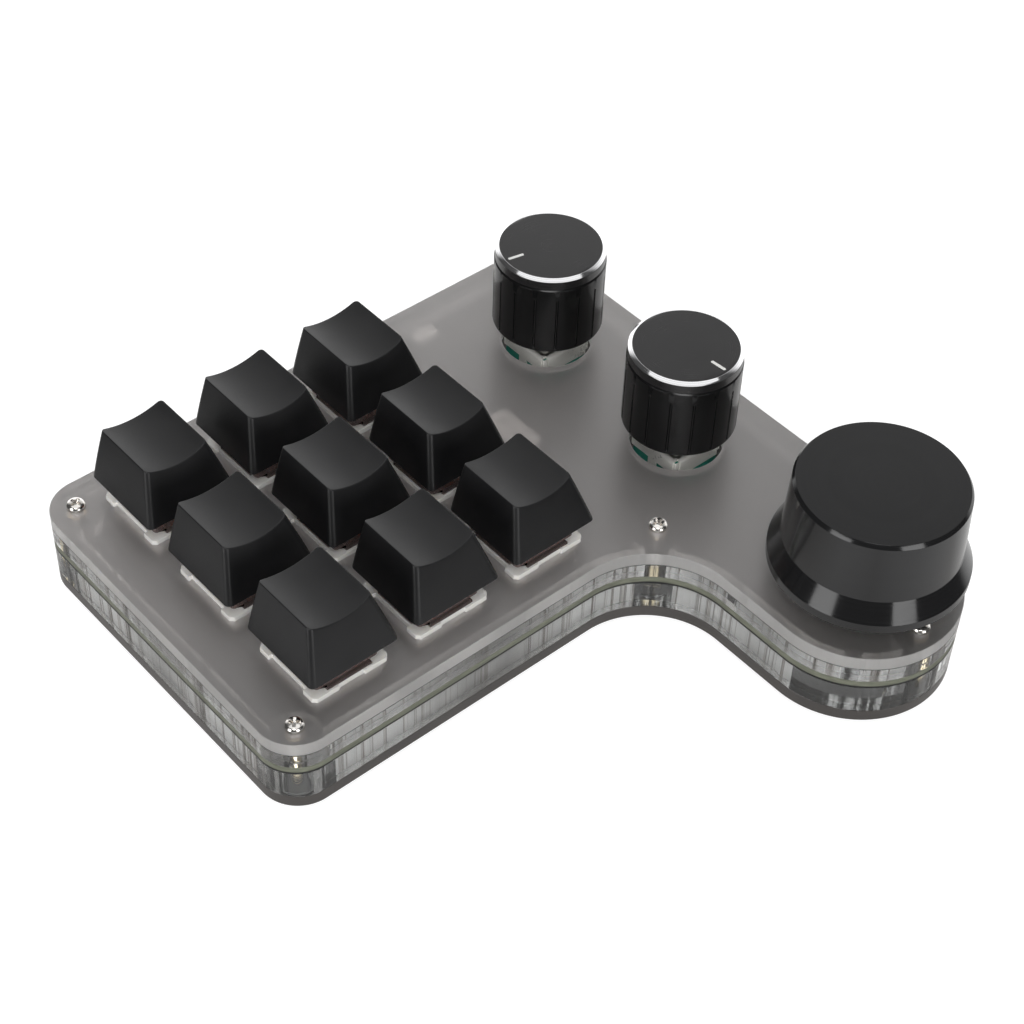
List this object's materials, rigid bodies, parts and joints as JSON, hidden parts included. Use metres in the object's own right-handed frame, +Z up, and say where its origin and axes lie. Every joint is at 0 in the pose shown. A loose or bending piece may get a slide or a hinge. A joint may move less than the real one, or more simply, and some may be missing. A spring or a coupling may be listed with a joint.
{
  "type": "macro keypad with knobs",
  "caption": "L-shaped desktop macro keypad: a block of sculptured mechanical keys, a column of push-and-turn knobs, and a larger knob on a rounded arm.",
  "frame": {"origin": "centre of the overall box in plan, on the surface the rubber feet rest on", "axes": "+Z up, +Y towards the back edge with the connector, +X towards the knob column"},
  "size_m": [0.1178, 0.1238, 0.042],
  "materials": {
    "frosted_acrylic": "frosted, light-scattering sheet acrylic with clear cut edges",
    "clear_acrylic": "clear polished sheet acrylic",
    "circuit_board": "glass-fibre board, olive cut edge",
    "dark_acrylic": "dark grey sheet acrylic",
    "nickel_screw": "nickel plated",
    "brass_standoff": "turned brass",
    "black_nylon": "moulded black nylon",
    "foot_rubber": "black rubber",
    "switch_white": "milky white moulded nylon",
    "switch_smoke": "smoky clear moulded polycarbonate",
    "contact_copper": "bright copper alloy",
    "connector_steel": "nickel plated shell",
    "chip_black": "moulded epoxy",
    "led_white": "white moulded package",
    "connector_white": "white moulded nylon",
    "encoder_green": "green moulded resin",
    "plated_sheet": "tin plated sheet",
    "zinc_bushing": "die-cast zinc",
    "rotor_plastic": "moulded acetal",
    "shaft_metal": "turned aluminium",
    "knob_gloss_black": "gloss black",
    "knob_cap_metal": "black anodised spun face, bright cut edge, white pointer line",
    "big_knob_metal": "black anodised, turned",
    "set_screw_steel": "blackened steel",
    "keycap_black": "fine-textured black",
    "stem_red": "moulded acetal",
    "spring_steel": "drawn spring wire"
  },
  "bodies": {
    "case": {"top_plate": "frosted_acrylic", "upper_frame": "clear_acrylic", "pcb": "circuit_board", "lower_frame": "clear_acrylic", "bottom_plate": "dark_acrylic", "case_screws": "nickel_screw", "standoffs": "brass_standoff", "standoff_washers": "black_nylon", "rubber_feet": "foot_rubber", "switch_lower_housings": "switch_white", "switch_upper_housings": "switch_smoke", "switch_contacts": "contact_copper", "hotswap_sockets": "black_nylon", "usb_c_connector": "connector_steel", "microcontroller": "chip_black", "diodes": "chip_black", "status_led": "led_white", "board_connector": "connector_white", "encoder_bases": "encoder_green", "encoder_brackets": "plated_sheet", "encoder_bushings": "zinc_bushing", "switch_spring_1": "spring_steel", "switch_spring_2": "spring_steel", "switch_spring_3": "spring_steel", "switch_spring_4": "spring_steel", "switch_spring_5": "spring_steel", "switch_spring_6": "spring_steel", "switch_spring_7": "spring_steel", "switch_spring_8": "spring_steel", "switch_spring_9": "spring_steel"},
    "key_1": {"keycap_1": "keycap_black", "switch_stem_1": "stem_red"},
    "key_2": {"keycap_2": "keycap_black", "switch_stem_2": "stem_red"},
    "key_3": {"keycap_3": "keycap_black", "switch_stem_3": "stem_red"},
    "key_4": {"keycap_4": "keycap_black", "switch_stem_4": "stem_red"},
    "key_5": {"keycap_5": "keycap_black", "switch_stem_5": "stem_red"},
    "key_6": {"keycap_6": "keycap_black", "switch_stem_6": "stem_red"},
    "key_7": {"keycap_7": "keycap_black", "switch_stem_7": "stem_red"},
    "key_8": {"keycap_8": "keycap_black", "switch_stem_8": "stem_red"},
    "key_9": {"keycap_9": "keycap_black", "switch_stem_9": "stem_red"},
    "rotor_1": {"encoder_rotor_1": "rotor_plastic"},
    "rotor_2": {"encoder_rotor_2": "rotor_plastic"},
    "rotor_3": {"encoder_rotor_3": "rotor_plastic"},
    "knob_1": {"encoder_shaft_1": "shaft_metal", "small_knob_1": "knob_gloss_black", "small_knob_cap_1": "knob_cap_metal"},
    "knob_2": {"encoder_shaft_2": "shaft_metal", "small_knob_2": "knob_gloss_black", "small_knob_cap_2": "knob_cap_metal"},
    "knob_3": {"encoder_shaft_3": "shaft_metal", "big_knob": "big_knob_metal", "big_knob_set_screw": "set_screw_steel"}
  },
  "joints": [
    {"name": "key_1_press", "type": "slide", "parent": "case", "child": "key_1", "axis": [0, 0, -1], "range_m": [0, 0.004], "stiffness_N_per_m": 90, "springref_m": -0.003, "deforming": ["switch_spring_1"]},
    {"name": "key_2_press", "type": "slide", "parent": "case", "child": "key_2", "axis": [0, 0, -1], "range_m": [0, 0.004], "stiffness_N_per_m": 90, "springref_m": -0.003, "deforming": ["switch_spring_2"]},
    {"name": "key_3_press", "type": "slide", "parent": "case", "child": "key_3", "axis": [0, 0, -1], "range_m": [0, 0.004], "stiffness_N_per_m": 90, "springref_m": -0.003, "deforming": ["switch_spring_3"]},
    {"name": "key_4_press", "type": "slide", "parent": "case", "child": "key_4", "axis": [0, 0, -1], "range_m": [0, 0.004], "stiffness_N_per_m": 90, "springref_m": -0.003, "deforming": ["switch_spring_4"]},
    {"name": "key_5_press", "type": "slide", "parent": "case", "child": "key_5", "axis": [0, 0, -1], "range_m": [0, 0.004], "stiffness_N_per_m": 90, "springref_m": -0.003, "deforming": ["switch_spring_5"]},
    {"name": "key_6_press", "type": "slide", "parent": "case", "child": "key_6", "axis": [0, 0, -1], "range_m": [0, 0.004], "stiffness_N_per_m": 90, "springref_m": -0.003, "deforming": ["switch_spring_6"]},
    {"name": "key_7_press", "type": "slide", "parent": "case", "child": "key_7", "axis": [0, 0, -1], "range_m": [0, 0.004], "stiffness_N_per_m": 90, "springref_m": -0.003, "deforming": ["switch_spring_7"]},
    {"name": "key_8_press", "type": "slide", "parent": "case", "child": "key_8", "axis": [0, 0, -1], "range_m": [0, 0.004], "stiffness_N_per_m": 90, "springref_m": -0.003, "deforming": ["switch_spring_8"]},
    {"name": "key_9_press", "type": "slide", "parent": "case", "child": "key_9", "axis": [0, 0, -1], "range_m": [0, 0.004], "stiffness_N_per_m": 90, "springref_m": -0.003, "deforming": ["switch_spring_9"]},
    {"name": "knob_1_turn", "type": "hinge", "parent": "case", "child": "rotor_1", "pos_m": [0.04115, 0.03845, 0.0179], "axis": [0, 0, 1], "continuous": true},
    {"name": "knob_2_turn", "type": "hinge", "parent": "case", "child": "rotor_2", "pos_m": [0.04115, 0.0023, 0.0179], "axis": [0, 0, 1], "continuous": true},
    {"name": "knob_3_turn", "type": "hinge", "parent": "case", "child": "rotor_3", "pos_m": [0.04115, -0.0443, 0.0179], "axis": [0, 0, 1], "continuous": true},
    {"name": "knob_1_push", "type": "slide", "parent": "rotor_1", "child": "knob_1", "axis": [0, 0, -1], "range_m": [0, 0.0005], "stiffness_N_per_m": 2500, "springref_m": -0.001},
    {"name": "knob_2_push", "type": "slide", "parent": "rotor_2", "child": "knob_2", "axis": [0, 0, -1], "range_m": [0, 0.0005], "stiffness_N_per_m": 2500, "springref_m": -0.001},
    {"name": "knob_3_push", "type": "slide", "parent": "rotor_3", "child": "knob_3", "axis": [0, 0, -1], "range_m": [0, 0.0005], "stiffness_N_per_m": 2500, "springref_m": -0.001}
  ]
}
